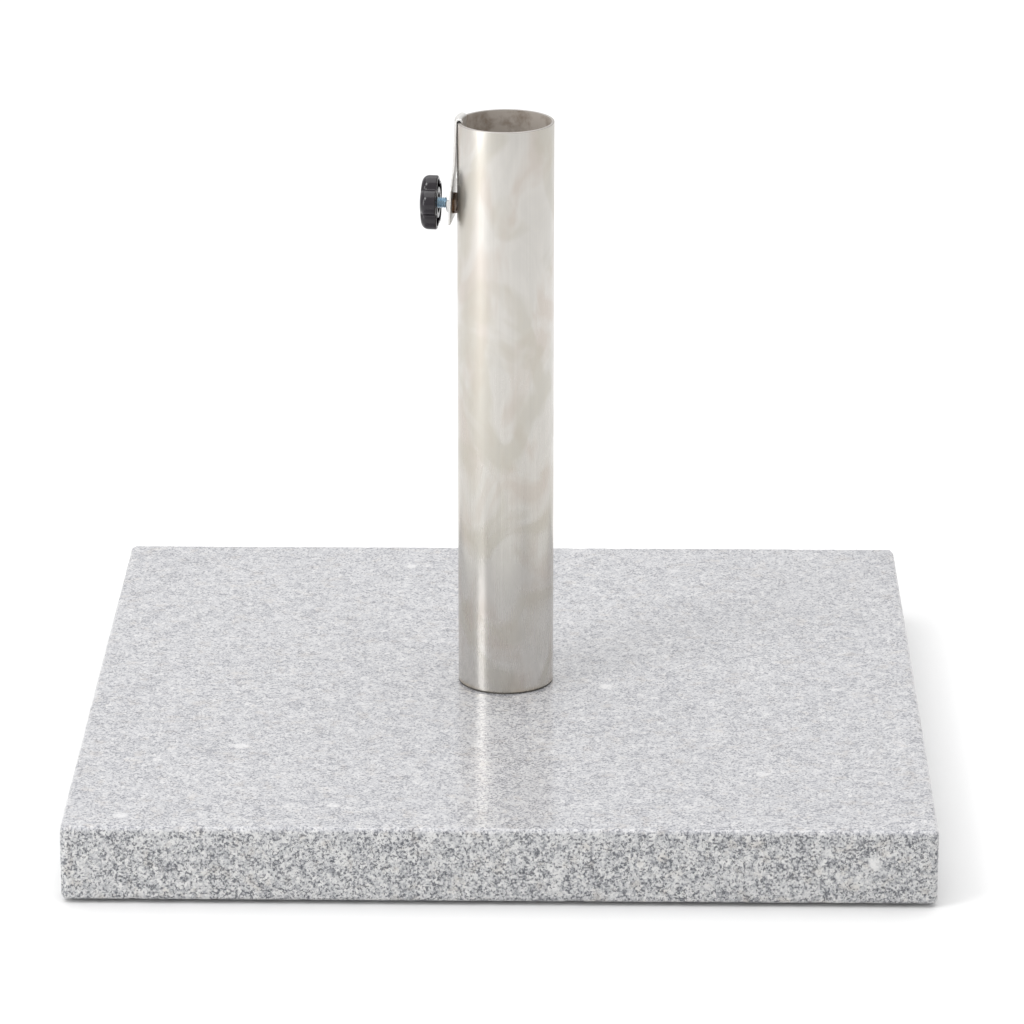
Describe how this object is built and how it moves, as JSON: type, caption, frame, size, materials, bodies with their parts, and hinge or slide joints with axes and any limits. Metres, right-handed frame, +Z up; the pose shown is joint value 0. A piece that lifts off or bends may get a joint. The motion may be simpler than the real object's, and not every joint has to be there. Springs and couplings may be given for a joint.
{
  "type": "parasol base",
  "caption": "Square granite parasol base with an upright steel pole tube and a clip-on star-knob clamp screw at its rim.",
  "frame": {"origin": "on the floor under the centre of the slab: the middle of the bottom of the part's box", "axes": "+Z up along the pole tube; -X is the side with the hand screw, 6 degrees from the screw's own axis; the slab's sides lie along X and Y, and its front faces -Y"},
  "size_m": [0.45, 0.45, 0.3598],
  "materials": {
    "granite": "honed light grey granite",
    "stainless_tube": "satin, faintly stained",
    "stainless_strap": "satin",
    "nut_steel": "bright, browned by welding on the inner half",
    "blued_zinc": "blue passivated zinc plating",
    "plated_steel": "zinc plated",
    "black_plastic": "satin moulded",
    "white_nylon": "natural nylon",
    "black_rubber": "matt"
  },
  "bodies": {
    "base": {"granite_slab": "granite", "foot_front_left": "black_rubber", "foot_front_right": "black_rubber", "foot_back_left": "black_rubber", "foot_back_right": "black_rubber", "tube_gasket": "black_rubber", "stand_tube": "stainless_tube", "tube_base_plate": "plated_steel", "tube_base_nut": "plated_steel", "fixing_bolt": "plated_steel", "fixing_spring_washer": "plated_steel", "fixing_flat_washer": "plated_steel", "clip_strap": "stainless_strap", "clamp_nut": "nut_steel"},
    "screw_tip": {"pressure_cap": "white_nylon"},
    "hand_screw": {"screw_stud": "blued_zinc", "knob_shell": "black_plastic"}
  },
  "joints": [
    {"name": "screw_travel", "type": "slide", "parent": "base", "child": "screw_tip", "axis": [0.9945, -0.1045, 0], "range_m": [-0.01232, 0.00412]},
    {"name": "knob_turn", "type": "hinge", "parent": "screw_tip", "child": "hand_screw", "pos_m": [-0.0354, 0.00372, 0.3118], "axis": [0.9945, -0.1045, 0], "range_deg": [-4428, 1476]}
  ],
  "couplings": [
    {"joint": "screw_travel", "follows": "knob_turn", "m_per_rad": 0.00015915}
  ]
}
